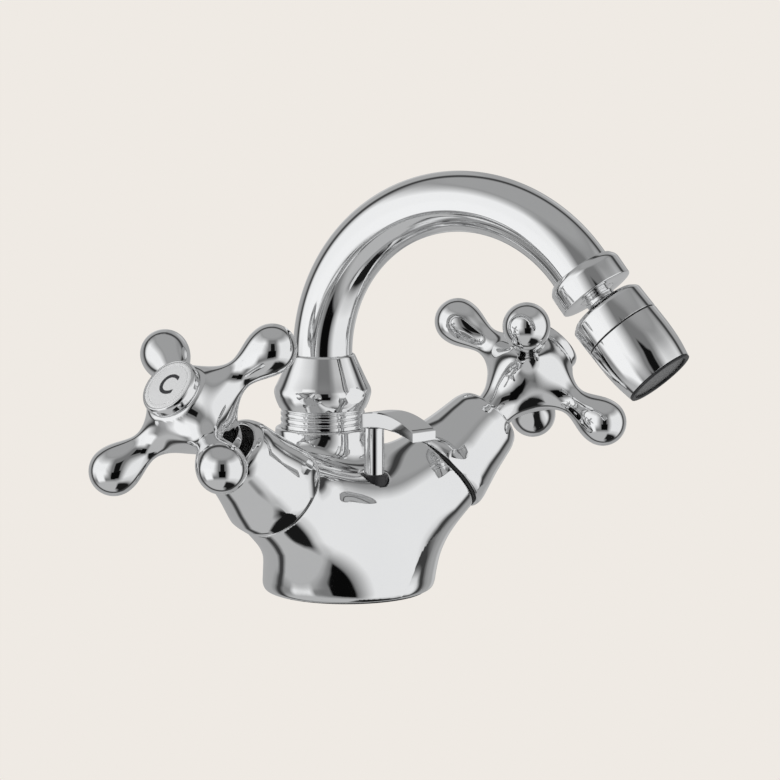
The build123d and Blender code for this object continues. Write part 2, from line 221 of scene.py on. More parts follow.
def rounded(outline, radius=0.3, steps=5):
    """Rounds the corners of an outline; a point may carry its own radius as a third value."""
    count = len(outline)
    result = []
    for i, corner in enumerate(outline):
        here = Vector(corner[:2])
        size = corner[2] if len(corner) > 2 else radius
        if size == 0:
            result.append(here)
            continue
        before = Vector(outline[i - 1][:2]) - here
        after = Vector(outline[(i + 1) % count][:2]) - here
        reach = min(size, before.length * 0.45, after.length * 0.45)
        start = here + before.normalized() * reach
        end = here + after.normalized() * reach
        for k in range(steps + 1):
            t = k / steps
            result.append(start * (1 - t) ** 2 + here * 2 * t * (1 - t) + end * t ** 2)
    return result


def lathe(name, outline, matrix, steps=160):
    """Turns a closed outline of (radius, height) points about the place's Z axis."""
    ring = [Vector(p) for p in outline]
    count = len(ring)
    vertices = []
    for k in range(steps):
        turn = 2 * pi * k / steps
        vertices += [(p.x * cos(turn), p.x * sin(turn), p.y) for p in ring]
    faces = []
    for k in range(steps):
        a = k * count
        b = (k + 1) % steps * count
        for i in range(count):
            j = (i + 1) % count
            faces.append((a + i, b + i, b + j, a + j))
    piece = mesh_object(name, vertices, faces, matrix)
    weld(piece)
    return piece


def weld(piece, distance=1e-7):
    """Joins the points that a lathe leaves on its own axis."""
    work = bmesh.new()
    work.from_mesh(piece.data)
    bmesh.ops.remove_doubles(work, verts=work.verts, dist=distance)
    bmesh.ops.recalc_face_normals(work, faces=work.faces)
    work.to_mesh(piece.data)
    work.free()
    piece.data.shade_smooth()
    piece.data.set_sharp_from_angle(angle=radians(32))


def keep_inside(piece, cutter):
    """Cuts away what lies outside the cutter, then removes the cutter."""
    step = piece.modifiers.new("carve", "BOOLEAN")
    step.object = cutter
    step.operation = "INTERSECT"
    step.solver = "EXACT"
    graph = bpy.context.evaluated_depsgraph_get()
    result = bpy.data.meshes.new_from_object(piece.evaluated_get(graph))
    piece.modifiers.clear()
    piece.data = result
    bpy.data.objects.remove(cutter)
    result.shade_smooth()
    result.set_sharp_from_angle(angle=radians(32))


def prism(name, radius, low, high, matrix, sides, turn):
    """A plain prism, used only as a cutter."""
    ends = []
    for height in (low, high):
        for k in range(sides):
            at = turn + 2 * pi * k / sides
            ends.append((radius * cos(at), radius * sin(at), height))
    walls = [(k, (k + 1) % sides, sides + (k + 1) % sides, sides + k) for k in range(sides)]
    caps = [tuple(range(sides)), tuple(range(sides, 2 * sides))]
    return mesh_object(name, ends, walls + caps, matrix)


# ---------------------------------------------------------------- blended shapes

def blend_union(a, b, width):
    """Union of two distance fields with a fillet about as wide as the last value."""
    near = np.maximum(width - np.abs(a - b), 0) / width
    return np.minimum(a, b) - near * near * width / 4


def blend_cut(a, b, width):
    """Intersection of two distance fields with a rounded edge."""
    return -blend_union(-a, -b, width)


def soft_profile(points):
    """Smooth radius against height through a few (radius, height) points."""
    heights = np.array([p[1] for p in points], float)
    radii = np.array([p[0] for p in points], float)
    slopes = np.gradient(radii, heights)

    def radius(at):
        at = np.clip(at, heights[0], heights[-1])
        i = np.clip(np.searchsorted(heights, at) - 1, 0, len(heights) - 2)
        span = heights[i + 1] - heights[i]
        t = (at - heights[i]) / span
        start = (1 + 2 * t) * (1 - t) ** 2 * radii[i] + t * (1 - t) ** 2 * span * slopes[i]
        end = t * t * (3 - 2 * t) * radii[i + 1] - t * t * (1 - t) * span * slopes[i + 1]
        return start + end

    return radius


def slope_of(field, points, step=0.01):
    """Gradient of a distance field at some points."""
    parts = []
    for axis in range(3):
        move = np.zeros(3)
        move[axis] = step
        parts.append((field(points + move) - field(points - move)) / (2 * step))
    return np.stack(parts, axis=-1)


def net(values):
    """Surface net of a grid of distances: vertices in grid units, and quads."""
    inside = values < 0
    shape = np.array(values.shape) - 1
    total = np.zeros(tuple(shape) + (3,))
    crossings = np.zeros(tuple(shape))
    corners = [(i, j, k) for i in (0, 1) for j in (0, 1) for k in (0, 1)]

    def corner(grid, c):
        return grid[c[0]:c[0] + shape[0], c[1]:c[1] + shape[1], c[2]:c[2] + shape[2]]

    for c in corners:
        for axis in range(3):
            if c[axis]:
                continue
            other = tuple(1 if n == axis else c[n] for n in range(3))
            first = corner(values, c)
            second = corner(values, other)
            crossed = (first < 0) != (second < 0)
            share = np.where(crossed, first / np.where(crossed, first - second, 1), 0)
            for n in range(3):
                total[..., n] += np.where(crossed, c[n] + (share if n == axis else 0), 0)
            crossings += crossed
    mixed = crossings > 0
    number = np.full(tuple(shape), -1)
    number[mixed] = np.arange(mixed.sum())
    cells = np.argwhere(mixed)
    vertices = cells + total[mixed] / crossings[mixed][:, None]
    quads = []
    for axis in range(3):
        u, v = [n for n in range(3) if n != axis]
        first = np.take(inside, range(shape[axis]), axis)
        second = np.take(inside, range(1, shape[axis] + 1), axis)
        for i, j, k in np.argwhere(first != second):
            cell = [i, j, k]
            if min(cell[u], cell[v]) < 1 or cell[u] >= shape[u] or cell[v] >= shape[v]:
                continue
            around = []
            for du, dv in ((0, 0), (1, 0), (1, 1), (0, 1)):
                near = list(cell)
                near[u] -= du
                near[v] -= dv
                around.append(int(number[tuple(near)]))
            quads.append(tuple(around))
    return vertices, quads


def blended(name, field, low, high, cell, matrix):
    """Meshes a distance field, settles the points on the surface and evens them out."""
    axes = [np.arange(low[n], high[n] + cell, cell) for n in range(3)]
    grid = np.stack(np.meshgrid(*axes, indexing="ij"), axis=-1)
    vertices, quads = net(field(grid))
    points = np.array(low) + vertices * cell
    edges = np.array([(q[i], q[(i + 1) % 4]) for q in quads for i in range(4)])
    for step in range(5):
        if step < 3:
            around = np.zeros_like(points)
            count = np.zeros(len(points))
            np.add.at(around, edges[:, 0], points[edges[:, 1]])
            np.add.at(count, edges[:, 0], 1)
            points = points * 0.4 + around / count[:, None] * 0.6
        slope = slope_of(field, points)
        size = np.maximum((slope ** 2).sum(-1), 1e-6)
        points = points - slope * (field(points) / size)[:, None]
    piece = mesh_object(name, points, quads, matrix)
    slope = slope_of(field, points)
    slope = slope / np.linalg.norm(slope, axis=1)[:, None]
    slope = slope @ np.array(matrix.to_3x3().normalized()).T
    piece.data.set_sharp_from_angle(angle=pi)
    piece.data.normals_split_custom_set_from_vertices([tuple(n) for n in slope])
    return piece


def along(points, origin, axis):
    """Distance along an axis, and distance from it."""
    offset = points - np.array(origin)
    height = offset @ np.array(axis)
    across = offset - height[..., None] * np.array(axis)
    return height, np.linalg.norm(across, axis=-1)


def hole(points, radius, low, high=1000.0):
    """Distance field of a round hole about Z, between two heights."""
    off = np.hypot(points[..., 0], points[..., 1])
    return np.maximum(off - radius, np.maximum(low - points[..., 2], points[..., 2] - high))


def body_field():
    """Distance field of the casting: base, trunk, tower and both arms run into each other."""
    base_radius = soft_profile([(24.2, 0.4), (25.0, 2.0), (24.9, 5.0), (23.6, 10.0), (20.5, 16.0)])
    width = soft_profile([(23.8, 2), (23.6, 12), (23.0, 24), (21.5, 34), (21.0, 44)])
    depth = soft_profile([(23.0, 2), (21.5, 12), (19.6, 24), (17.4, 34), (16.6, 44)])
    centre = soft_profile([(0.0, 2), (-0.6, 12), (-1.4, 24), (-2.2, 34), (-2.5, 44)])
    neck = soft_profile([(13.0, 4), (14.2, 20), (14.8, 40), (14.45, 48.5), (14.45, 52)])
    arm_radius = soft_profile([(17.0, 0), (16.7, 14), (15.7, 24), (14.6, 33), (14.2, 41)])
    arms = []
    for side in SIDES:
        joint = JOINTS[side + "_handle_turn"]
        arms.append((np.array(joint["pos_m"]) / MM, np.array(joint["axis"])))
    tower_at = np.array(TOWER) / MM
    rod_at = np.array((ROD_CENTRE.x, ROD_CENTRE.y, 0)) / MM

    def solid(points):
        x, y, z = points[..., 0], points[..., 1], points[..., 2]
        base = np.hypot(x, y) - base_radius(z)
        base = blend_cut(base, z - 13.0, 6.0)
        across = x / width(z)
        deep = (y - centre(z)) / depth(z)
        trunk = (np.sqrt(across ** 2 + deep ** 2) - 1) * depth(z)
        valley = SADDLE_Z + 0.008 * x * x + 0.22 * (y - rod_at[1])
        trunk = blend_cut(trunk, (z - valley) * 0.95, 8.0)
        shape = blend_union(base, trunk, 5.0)
        for origin, axis in arms:
            height, off = along(points, origin, axis)
            arm = np.maximum(off - arm_radius(height), 6.0 - height)
            arm = blend_cut(arm, height - ARM_END, 0.8)
            shape = blend_union(shape, arm, 9.0)
        tower = np.hypot(x, y - tower_at[1]) - neck(z)
        tower = blend_cut(tower, z - TOWER_TOP, 0.8)
        return blend_union(shape, tower, 6.0)

    def field(points):
        shape = blend_cut(solid(points), BASE_UNDERSIDE - points[..., 2], 1.2)
        holes = [hole(points, CAVITY_RADIUS, -9.0, CAVITY_ROOF),
                 hole(points - rod_at, ROD_BORE, 0.0),
                 hole(points - tower_at, 12.45, 40.0)]
        for x in (-INLET_X, INLET_X):
            holes.append(hole(points - np.array((x, INLET_Y, 0)), INLET_RADIUS, 0.0, INLET_TOP))
        holes.append(hole(points - np.array((0, STUD_Y, 0)), STUD_RADIUS, 0.0, STUD_TOP))
        for origin, axis in arms:
            height, off = along(points, origin, axis)
            holes.append(np.maximum(off - 10.4, 28.0 - height))
        for cut in holes:
            shape = blend_cut(shape, -cut, 0.8)
        return shape

    return field


def body_casting():
    low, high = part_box("mixer_body")
    low = [c / MM - 2 for c in low]
    high = [c / MM + 2 for c in high]
    piece = blended("body_casting", body_field(), low, high, 0.6, Matrix.Scale(MM, 4))
    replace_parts(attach(piece, "mixer"), "mixer_body")
    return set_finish(piece, "chrome")


def handle_field(turn):
    """Distance field of a hub with four teardrop arms, in the arm's own place."""
    low = HANDLE_DISTANCE
    hub_radius = soft_profile([
        (5.9, low - 22), (6.1, low - 18), (6.8, low - 14), (8.6, low - 10), (10.2, low - 6),
        (HUB_RADIUS, low - 1), (HUB_RADIUS - 0.2, low + 4), (9.9, low + 7.5), (9.2, low + 9.6)])

    def field(points):
        x, y, z = points[..., 0], points[..., 1], points[..., 2]
        off = np.hypot(x, y)
        shape = off - hub_radius(z)
        for quarter in range(4):
            at = radians(turn + 90 * quarter)
            ahead = x * cos(at) + y * sin(at)
            aside = np.hypot(y * cos(at) - x * sin(at), z - low)
            ball = np.hypot(ahead - LOBE_REACH, aside) - LOBE_RADIUS
            middle = np.clip(ahead, 4.0, LOBE_REACH)
            stalk = np.hypot(ahead - middle, aside) - LOBE_NECK + 0.09 * middle
            lobe = blend_union(ball, stalk, 9.0)
            shape = blend_union(shape, lobe, 8.0)
        for cut in (low - 22.0 - z, z - (low + HUB_FACE), -hole(points, 5.2, low + 3.0),
                    -hole(points, 3.95, 0.0, low - 5.5)):
            shape = blend_cut(shape, cut, 0.8)
        return shape

    return field


def cross_handle(side):
    reach = LOBE_REACH + LOBE_RADIUS + 2
    low = [-reach, -reach, HANDLE_DISTANCE - 24]
    high = [reach, reach, HANDLE_DISTANCE + HUB_FACE + 2]
    field = handle_field(HANDLE_TURN[side])
    piece = blended(side + "_handle_casting", field, low, high, 0.7, arm_place(side))
    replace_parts(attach(piece, side + "_handle"), side + "_cross_handle")
    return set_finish(piece, "chrome")


# ---------------------------------------------------------------- turned parts

def with_flats(piece, radius, matrix, low, high, turn):
    """Cuts six spanner flats just inside the widest radius."""
    corner = radius * FLAT_RATIO / cos(pi / 6)
    cutter = prism("flats", corner, low, high, matrix, sides=6, turn=turn)
    cutter.data.shade_flat()
    keep_inside(piece, cutter)


def bonnet(side):
    """Conical cover with lens-shaped flats by its rim."""
    rim = ARM_END + 0.8
    matrix = arm_place(side)
    outline = rounded([
        (13.3, rim, 0.1), (15.1, rim, 0.4), (COVER_RIM, rim + 1.6, 0.9), (15.3, rim + 3.6, 1.5),
        (13.2, 54.0, 3.0), (11.7, 63.0, 3.0), (10.6, COVER_TOP - 0.9, 1.5), (9.3, COVER_TOP, 0.8),
        (COVER_BORE, COVER_TOP, 0.3), (COVER_BORE, 57.0, 0.5), (13.2, 49.0, 0.5)], steps=8)
    piece = lathe(side + "_cover", outline, matrix, steps=192)
    with_flats(piece, COVER_RIM, matrix, ARM_END, COVER_TOP + 1, radians(COVER_FLATS[side]))
    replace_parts(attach(piece, "mixer"), side + "_bonnet")
    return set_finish(piece, "chrome")


def bore_shadow_ring(side):
    """Painted shadow: a black ring round the neck, down in a cover's bore, put there to darken the
    bore as its shade would.
    """
    outline = rounded([(5.0, 62.4), (COVER_BORE - 0.05, 62.4), (COVER_BORE - 0.05, 63.4),
                       (5.0, 63.4)], 0.2)
    piece = lathe(side + "_bore_shadow_ring", outline, arm_place(side))
    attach(piece, "mixer")
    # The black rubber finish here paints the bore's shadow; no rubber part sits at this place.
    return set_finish(piece, "black_rubber")


def cover_seal(side):
    """Black ring in the joint under a cover."""
    outline = rounded([(13.4, ARM_END), (14.35, ARM_END), (14.35, ARM_END + 0.8),
                       (13.4, ARM_END + 0.8)], 0.2)
    piece = lathe(side + "_seal_ring", outline, arm_place(side))
    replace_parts(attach(piece, "mixer"), side + "_cover_seal")
    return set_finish(piece, "black_rubber")


def nut():
    outline = rounded([
        (12.05, NUT_BOTTOM, 0.1), (13.2, NUT_BOTTOM, 0.2), (14.2, 56.6, 1.5),
        (NUT_RADIUS, NUT_WIDEST, 1.4), (13.0, 63.6, 4.0), (9.9, NUT_TOP - 0.4, 0.6),
        (9.5, NUT_TOP, 0.2), (9.15, NUT_TOP, 0.1), (9.15, 64.0, 0.1), (12.05, 64.0, 0.1)],
        steps=8)
    piece = lathe("conical_nut", outline, TOWER_PLACE, steps=192)
    with_flats(piece, NUT_RADIUS, TOWER_PLACE, NUT_BOTTOM - 1, NUT_TOP + 1, radians(NUT_FLATS))
    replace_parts(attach(piece, "mixer"), "spout_nut")
    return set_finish(piece, "chrome")


def nipple():
    """Grooved ring between the tower and the nut."""
    outline = [(8.65, 43.0), (12.4, 43.0), (12.4, TOWER_TOP, 0.05), (12.8, TOWER_TOP, 0.25)]
    for low in (49.7, 51.5, 53.2):
        outline += [(12.8, low, 0.3), (12.3, low + 0.35, 0.2), (12.8, low + 0.7, 0.3)]
    outline += [(12.7, NUT_BOTTOM, 0.2), (8.65, NUT_BOTTOM)]
    piece = lathe("grooved_nipple", rounded(outline, 0.1, steps=6), TOWER_PLACE)
    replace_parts(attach(piece, "mixer"), "spout_nipple")
    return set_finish(piece, "chrome")


def spout_tube():
    """Swan-neck tube swept along a riser, a round bend and a straight tail."""
    end = radians(ARCH_SWEEP)
    stations = [(0.0, 62.0, 0.0), (0.0, 66.0, 0.0)]
    bends = 120
    for k in range(bends + 1):
        at = end * k / bends
        stations.append((ARCH_RADIUS * (1 - cos(at)), NUT_TOP + ARCH_RADIUS * sin(at), at))
    last = stations[-1]
    tail = ARCH_TAIL - 3.0
    stations.append((last[0] + tail * sin(end), last[1] + tail * cos(end), end))
    around = 96
    vertices = []
    for radius in (TUBE_RADIUS, TUBE_RADIUS - 1.2):
        for x, z, tilt in stations:
            for k in range(around):
                at = 2 * pi * k / around
                out = radius * cos(at)
                vertices.append((x + out * cos(tilt), radius * sin(at), z - out * sin(tilt)))
    faces = []
    rows = len(stations)
    for skin in (0, 1):
        for i in range(rows - 1):
            for k in range(around):
                a = (skin * rows + i) * around
                j = (k + 1) % around
                faces.append((a + k, a + j, a + around + j, a + around + k))
    for i in (0, rows - 1):
        for k in range(around):
            a = i * around
            b = (rows + i) * around
            j = (k + 1) % around
            faces.append((a + k, a + j, b + j, b + k))
    piece = mesh_object("swan_neck", vertices, faces, TOWER_PLACE)
    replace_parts(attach(piece, "spout"), "spout_tube")
    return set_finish(piece, "chrome")


def collar():
    outline = rounded([
        (9.03, -8.5, 0.1), (9.9, -8.4, 0.4), (COLLAR_RADIUS, -6.6, 1.8), (COLLAR_RADIUS, 0.0, 0.35),
        (5.55, 0.0, 0.2), (5.55, -3.0, 0.1), (9.03, -3.0, 0.1)], steps=8)
    piece = lathe("end_collar", outline, COLLAR_PLACE)
    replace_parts(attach(piece, "spout"), "outlet_collar")
    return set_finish(piece, "chrome")


def stem():
    """Neck and ball of the nozzle's joint."""
    drop = BALL_DROP
    outline = rounded([
        (2.25, -drop - 7.0), (5.5, -drop - 7.0), (5.5, -drop, 0.1), (3.9, -drop, 0.1),
        (3.9, -drop + 0.9, 0.1), (4.55, -drop + 1.0, 0.25), (4.55, -drop + 2.5, 0.3),
        (4.1, -drop + 2.9, 0.2)], 0.1)
    start = atan2(4.1, 6.28)
    stop = pi - atan2(2.25, 7.15)
    for k in range(25):
        at = start + (stop - start) * k / 24
        outline.append(Vector((BALL_RADIUS * sin(at), -BALL_RADIUS * cos(at))))
    piece = lathe("ball_and_neck", outline, STEM_PLACE)
    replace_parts(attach(piece, "spout"), "ball_stem")
    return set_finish(piece, "chrome")


def nozzle_upper():
    outline = rounded([
        (7.2, NOZZLE_TOP, 0.3), (9.9, NOZZLE_TOP, 0.5), (NOZZLE_RADIUS, NOZZLE_TOP + 1.5, 0.7),
        (NOZZLE_RADIUS, NOZZLE_SEAM, 0.15), (10.5, NOZZLE_SEAM, 0.05), (10.5, 8.0), (9.9, 8.0),
        (9.9, 1.0), (9.1, 1.0), (8.95, -1.8), (8.0, -4.4), (6.4, -4.4, 0.2)], 0.1, steps=6)
    piece = lathe("nozzle_cap", outline, NOZZLE_PLACE)
    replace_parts(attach(piece, "nozzle"), "nozzle_ring")
    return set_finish(piece, "chrome")


def nozzle_lower():
    seam = NOZZLE_SEAM + SEAM_GAP
    outline = rounded([
        (10.55, seam, 0.05), (NOZZLE_RADIUS, seam, 0.15), (NOZZLE_RADIUS, 10.0, 4.0),
        (11.4, 15.5, 3.0), (OUTLET_RADIUS, NOZZLE_END - 0.7, 0.1), (9.55, NOZZLE_END - 0.7, 0.1),
        (9.55, 8.3), (10.55, 8.3)], 0.1, steps=8)
    piece = lathe("nozzle_skirt", outline, NOZZLE_PLACE)
    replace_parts(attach(piece, "nozzle"), "nozzle_shell")
    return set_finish(piece, "chrome")


def seam_ring():
    """Dark ring at the bottom of the joint between the nozzle's two parts."""
    outline = rounded([(10.6, NOZZLE_SEAM), (11.3, NOZZLE_SEAM), (11.3, NOZZLE_SEAM + SEAM_GAP),
                       (10.6, NOZZLE_SEAM + SEAM_GAP)], 0.05)
    piece = lathe("seam_ring", outline, NOZZLE_PLACE)
    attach(piece, "nozzle")
    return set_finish(piece, "black_rubber")


def outlet_rim():
    outline = rounded([
        (8.85, NOZZLE_END - 0.65), (OUTLET_RADIUS - 0.08, NOZZLE_END - 0.65),
        (OUTLET_RADIUS - 0.08, NOZZLE_END), (9.0, NOZZLE_END)], 0.25)
    piece = lathe("outlet_rim", outline, NOZZLE_PLACE)
    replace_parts(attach(piece, "nozzle"), "outlet_ring")
    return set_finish(piece, "black_plastic")


def mesh_screen():
    """Woven wire disc across the outlet: two crossed layers of fine rods."""
    height = NOZZLE_END - 0.9
    radius = 8.8
    pitch = 0.8
    wire = 0.17
    vertices = []
    faces = []
    count = int(radius / pitch)
    for layer in (0, 1):
        for i in range(-count, count + 1):
            offset = i * pitch
            half = (radius ** 2 - offset ** 2) ** 0.5
            first = len(vertices)
            for end in (-half, half):
                for k in range(6):
                    at = pi * k / 3
                    side = offset + wire * cos(at)
                    rise = height + wire * sin(at) + (layer - 0.5) * wire
                    vertices.append((end, side, rise) if layer else (side, end, rise))
            for k in range(6):
                j = (k + 1) % 6
                faces.append((first + k, first + j, first + 6 + j, first + 6 + k))
            faces.append(tuple(range(first, first + 6)))
            faces.append(tuple(range(first + 6, first + 12)))
    piece = mesh_object("wire_screen", vertices, faces, NOZZLE_PLACE)
    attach(piece, "nozzle")
    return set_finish(piece, "screen_grey")


def cap(side):
    """Bevelled cap on the hub."""
    low = HANDLE_DISTANCE
    top = low + CAP_FACE
    outline = rounded([
        (0, low + HUB_FACE, 0), (8.5, low + HUB_FACE, 0.1), (CAP_RADIUS, low + 10.0, 0.3),
        (CAP_RADIUS, top - 0.9, 0.5), (CAP_RADIUS - 0.5, top, 0.35), (8.05, top, 0.15),
        (8.05, top - 0.6, 0.05), (0, top - 0.6, 0)], steps=6)
    piece = lathe(side + "_cap", outline, arm_place(side))
    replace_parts(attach(piece, side + "_handle"), side + "_cap_ring")
    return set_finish(piece, "chrome")


def index_disc(side):
    """Pale disc with a fine groove near its edge."""
    top = HANDLE_DISTANCE + CAP_FACE
    outline = rounded([(0, top - 0.6, 0), (8.0, top - 0.6, 0.05), (8.0, top - 0.25, 0.1),
                       (7.5, top - 0.02, 0.15), (6.85, top - 0.02, 0.05), (6.72, top - 0.2, 0.05),
                       (6.6, top - 0.02, 0.05), (0, top - 0.02, 0)], steps=5)
    disc = lathe(side + "_disc", outline, arm_place(side))
    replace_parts(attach(disc, side + "_handle"), side + "_index_disc")
    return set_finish(disc, "index_white")


def letter_mesh(text, size):
    """Flat mesh of one letter, in millimetres about its own middle."""
    letter = bpy.data.curves.new(text, "FONT")
    letter.body = text
    letter.size = size
    letter.extrude = 0.03
    letter.offset = 0.12
    letter.align_x = "CENTER"
    letter.align_y = "CENTER"
    written = bpy.data.objects.new("writing", letter)
    bpy.context.collection.objects.link(written)
    bpy.context.view_layer.update()
    graph = bpy.context.evaluated_depsgraph_get()
    shape = bpy.data.meshes.new_from_object(written.evaluated_get(graph))
    bpy.data.objects.remove(written)
    return shape


def index_letter(side):
    """The letter on a disc, upright: C for the left handle and F for the right one."""
    arm = arm_place(side)
    normal = arm.col[2].xyz.normalized()
    upright = UP - normal * UP.dot(normal)
    face = arm @ Vector((0, 0, HANDLE_DISTANCE + CAP_FACE))
    shape = letter_mesh(LETTERS[side], LETTER_SIZE)
    shape.transform(place(face, normal, upright.cross(normal)))
    mark = bpy.data.objects.new(side + "_letter", shape)
    bpy.context.collection.objects.link(mark)
    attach(mark, side + "_handle")
    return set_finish(mark, "black_plastic")


# ---------------------------------------------------------------- lift rod and tab

def lift_tab():
    """Arched finger tab, round where it sits on the rod and square at its front end."""
    rod_y = ROD_CENTRE.y / MM
    half = TAB_HALF_WIDTH
    outline = [(-half, TAB_FRONT)]
    outline += [(-half, TAB_FRONT + (rod_y - TAB_FRONT) * k / 24) for k in range(1, 24)]
    for k in range(25):
        at = pi - pi * k / 24
        outline.append((half * cos(at), rod_y + half * sin(at)))
    outline += [(half, rod_y - (rod_y - TAB_FRONT) * k / 24) for k in range(1, 25)]
    count = len(outline)
    vertices = []
    for inset, height, drop in ((1, tab_top, 0), (0, tab_top, TAB_BEVEL),
                                (0, tab_bottom, -TAB_BEVEL), (1, tab_bottom, 0)):
        for x, y in outline:
            y_in = max(y, TAB_FRONT + TAB_BEVEL) if inset else y
            shrink = 1 - inset * TAB_BEVEL / half
            y_out = rod_y + (y_in - rod_y) * (shrink if y > rod_y else 1)
            vertices.append((x * shrink, y_out, height(y_in) - drop))
    faces = []
    for row in range(3):
        for k in range(count):
            j = (k + 1) % count
            a = row * count
            faces.append((a + k, a + j, a + count + j, a + count + k))
    for k in range(count // 2 - 1):
        far = count - 1 - k
        faces.append((k, k + 1, far - 1, far))
        faces.append(tuple(3 * count + n for n in (k, k + 1, far - 1, far)))
    piece = mesh_object("finger_tab", vertices, faces)
    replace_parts(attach(piece, "pop_up"), "lift_tab")
    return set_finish(piece, "chrome")


def tab_top(y):
    """Height of the tab's upper face, which bends more in front of the crest."""
    bend = TAB_BEND if y > TAB_CREST_Y else TAB_FRONT_BEND
    return TAB_CREST_TOP - bend * (y - TAB_CREST_Y) ** 2


def tab_bottom(y):
    """Height of the tab's lower face."""
    return TAB_CREST_BOTTOM - TAB_BEND * (y - TAB_CREST_Y) ** 2


def lift_rod():
    outline = rounded([(0, 1.0, 0), (3.0, 1.0, 0.4), (3.0, 51.0, 0.05), (0, 51.0, 0)])
    piece = lathe("waste_rod", outline, ROD_PLACE, steps=96)
    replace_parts(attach(piece, "pop_up"), "lift_rod")
    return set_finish(piece, "chrome")


def rod_collar():
    """Dark plastic ring that lines the rod's hole in the casting."""
    outline = rounded([(3.08, 14.0, 0.1), (4.15, 14.0, 0.1), (4.15, SADDLE_Z + 0.3, 0.4),
                       (3.08, SADDLE_Z + 0.3, 0.3)])
    piece = lathe("rod_lining", outline, ROD_PLACE, steps=96)
    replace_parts(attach(piece, "mixer"), "rod_guide")
    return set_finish(piece, "black_plastic")


# ---------------------------------------------------------------- materials

def shader(name, colour, roughness, metallic=0.0, coat=0.0):
    """A new material with its main values set on the shader itself."""
    made = bpy.data.materials.new(name)
    made.use_nodes = True
    main = made.node_tree.nodes["Principled BSDF"]
    main.inputs["Base Color"].default_value = (*colour, 1)
    main.inputs["Roughness"].default_value = roughness
    main.inputs["Metallic"].default_value = metallic
    main.inputs["Coat Weight"].default_value = coat
    return made


def noise(material, scale, detail=3.0):
    """Noise in the object's own coordinates, as a value from 0 to 1."""
    nodes = material.node_tree.nodes
    links = material.node_tree.links
    place_node = nodes.new("ShaderNodeTexCoord")
    texture = nodes.new("ShaderNodeTexNoise")
    texture.inputs["Scale"].default_value = scale
    texture.inputs["Detail"].default_value = detail
    links.new(place_node.outputs["Object"], texture.inputs["Vector"])
    return texture.outputs["Fac"]


def vary(material, socket, source, low, high):
    """Drives one of the main shader's values from a texture."""
    nodes = material.node_tree.nodes
    links = material.node_tree.links
    ramp = nodes.new("ShaderNodeMapRange")
    ramp.inputs["To Min"].default_value = low
    ramp.inputs["To Max"].default_value = high
    links.new(source, ramp.inputs["Value"])
    links.new(ramp.outputs["Result"], nodes["Principled BSDF"].inputs[socket])


def tint(material, source, first, second):
    """Base colour that drifts between two tones."""
    nodes = material.node_tree.nodes
    links = material.node_tree.links
    mix = nodes.new("ShaderNodeMix")
    mix.data_type = "RGBA"
    mix.inputs["A"].default_value = (*first, 1)
    mix.inputs["B"].default_value = (*second, 1)
    links.new(source, mix.inputs["Factor"])
    links.new(mix.outputs["Result"], nodes["Principled BSDF"].inputs["Base Color"])


def bump(material, source, strength, distance):
    nodes = material.node_tree.nodes
    links = material.node_tree.links
    relief = nodes.new("ShaderNodeBump")
    relief.inputs["Strength"].default_value = strength
    relief.inputs["Distance"].default_value = distance
    links.new(source, relief.inputs["Height"])
    links.new(relief.outputs["Normal"], nodes["Principled BSDF"].inputs["Normal"])


def chrome():
    """Mirror plating with the faint haze and waviness of hand polishing."""
    made = shader("polished_chrome", (0.86, 0.865, 0.87), 0.04, metallic=1.0)
    vary(made, "Roughness", noise(made, 260.0), 0.025, 0.075)
    tint(made, noise(made, 40.0), (0.84, 0.845, 0.85), (0.89, 0.89, 0.89))
    bump(made, noise(made, 45.0, 1.0), 0.04, 0.0004)
    return made


def brass():
    made = shader("turned_brass", (0.72, 0.52, 0.24), 0.3, metallic=1.0)
    vary(made, "Roughness", noise(made, 900.0), 0.22, 0.42)
    tint(made, noise(made, 60.0), (0.66, 0.46, 0.2), (0.78, 0.6, 0.3))
    bump(made, noise(made, 2500.0, 1.0), 0.15, 0.0001)
    return made


def steel():
    made = shader("turned_steel", (0.6, 0.6, 0.61), 0.28, metallic=1.0)
    vary(made, "Roughness", noise(made, 900.0), 0.2, 0.4)
    tint(made, noise(made, 80.0), (0.52, 0.52, 0.53), (0.66, 0.66, 0.67))
    return made


def rubber():
    made = shader("black_rubber", (0.02, 0.02, 0.02), 0.65)
    vary(made, "Roughness", noise(made, 1500.0), 0.55, 0.8)
    tint(made, noise(made, 200.0), (0.014, 0.014, 0.014), (0.035, 0.035, 0.034))
    bump(made, noise(made, 3000.0, 1.0), 0.2, 0.0001)
    return made


def black_plastic():
    made = shader("black_plastic", (0.02, 0.02, 0.022), 0.4)
    vary(made, "Roughness", noise(made, 1200.0), 0.32, 0.5)
    tint(made, noise(made, 150.0), (0.015, 0.015, 0.017), (0.03, 0.03, 0.032))
    return made


def white_plastic():
    made = shader("white_plastic", (0.8, 0.8, 0.78), 0.32)
    vary(made, "Roughness", noise(made, 900.0), 0.26, 0.4)
    tint(made, noise(made, 100.0), (0.76, 0.76, 0.73), (0.84, 0.84, 0.82))
    return made


def ceramic():
    made = shader("lapped_ceramic", (0.84, 0.81, 0.76), 0.15)
    vary(made, "Roughness", noise(made, 700.0), 0.08, 0.22)
    tint(made, noise(made, 300.0), (0.8, 0.77, 0.72), (0.88, 0.86, 0.82))
    return made


def enamel():
    """Glossy white enamel of the index discs."""
    made = shader("index_enamel", (0.9, 0.9, 0.9), 0.3, coat=0.3)
    vary(made, "Roughness", noise(made, 500.0), 0.16, 0.3)
    tint(made, noise(made, 120.0), (0.88, 0.88, 0.88), (0.93, 0.93, 0.93))
    bump(made, noise(made, 400.0, 1.0), 0.05, 0.0001)
    return made


def ink():
    """Dark enamel filled into the marks of the index discs."""
    made = shader("index_ink", (0.03, 0.03, 0.035), 0.3)
    vary(made, "Roughness", noise(made, 1500.0), 0.25, 0.45)
    tint(made, noise(made, 800.0), (0.02, 0.02, 0.025), (0.06, 0.06, 0.065))
    return made


